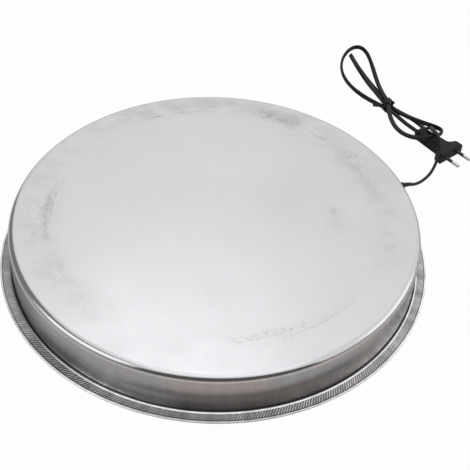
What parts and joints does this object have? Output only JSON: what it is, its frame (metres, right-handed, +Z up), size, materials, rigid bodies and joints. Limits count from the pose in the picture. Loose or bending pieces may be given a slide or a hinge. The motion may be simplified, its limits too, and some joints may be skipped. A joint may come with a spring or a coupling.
{
  "type": "heated poultry drinker base",
  "caption": "Round heated base for a poultry drinker: a shallow steel pan hemmed into a base plate, with a foil heater, a thermostat and a tied flat cord with a plug.",
  "frame": {"origin": "centre of the round base, on the plane it stands on", "axes": "+Z up through the top plate, +X to the right and +Y away from the viewer of the picture"},
  "size_m": [0.486, 0.5652, 0.0472],
  "materials": {
    "pan_steel": "pale drawn steel, brushed down the wall",
    "base_steel": "zinc-plated sheet, knurled on its hem",
    "foil": "bright foil",
    "silicone": "silicone, matt",
    "glass_fibre": "needled glass-fibre mat",
    "thermostat_metal": "stamped, satin",
    "phenolic": "moulded phenolic",
    "spring_steel": "rolled strip",
    "ceramic_pin": "plain ceramic",
    "contact_brass": "stamped brass",
    "fastener_steel": "zinc-plated",
    "tinned_brass": "tinned",
    "live_insulation": "brown insulation",
    "neutral_insulation": "blue insulation",
    "switched_insulation": "black insulation",
    "bush_rubber": "moulded, matt",
    "cord_sheath": "smooth black sheath, soft shine",
    "tie_plastic": "plastic-covered wire",
    "plug_plastic": "moulded, fine matt",
    "pin_metal": "nickel-plated",
    "sleeve_plastic": "moulded"
  },
  "bodies": {
    "base": {"heater_pan": "pan_steel", "base_plate": "base_steel", "upper_foil": "foil", "heating_cable": "silicone", "lower_foil": "foil", "insulation_mat": "glass_fibre", "thermostat_cap": "thermostat_metal", "thermostat_body": "phenolic", "bimetal_disc": "spring_steel", "fixed_terminal": "contact_brass", "leaf_terminal": "contact_brass", "thermostat_cover": "phenolic", "thermostat_bracket": "fastener_steel", "weld_studs": "fastener_steel", "stud_nuts": "fastener_steel", "tab_receptacles": "tinned_brass", "crimp_splices": "tinned_brass", "live_lead": "live_insulation", "neutral_lead": "neutral_insulation", "switched_lead": "switched_insulation", "cord_bush": "bush_rubber", "cord_entry": "cord_sheath", "cord_collar": "tinned_brass", "cord_lead": "cord_sheath", "cord_hank": "cord_sheath", "hank_tie": "tie_plastic", "plug_body": "plug_plastic", "plug_pins": "pin_metal", "pin_sleeves": "sleeve_plastic"},
    "switch_pin": {"push_pin": "ceramic_pin"},
    "contact_arm": {"contact_leaf": "contact_brass"}
  },
  "joints": [
    {"name": "pin_push", "type": "slide", "parent": "base", "child": "switch_pin", "axis": [0, 0, -1], "range_m": [0, 0.0006], "stiffness_N_per_m": 200},
    {"name": "leaf_swing", "type": "hinge", "parent": "base", "child": "contact_arm", "pos_m": [-0.0041, -0.00209, 0.03734], "axis": [-0.454, 0.891, 0], "range_deg": [0, 10.5]}
  ],
  "couplings": [
    {"joint": "leaf_swing", "follows": "pin_push", "rad_per_m": 303}
  ]
}
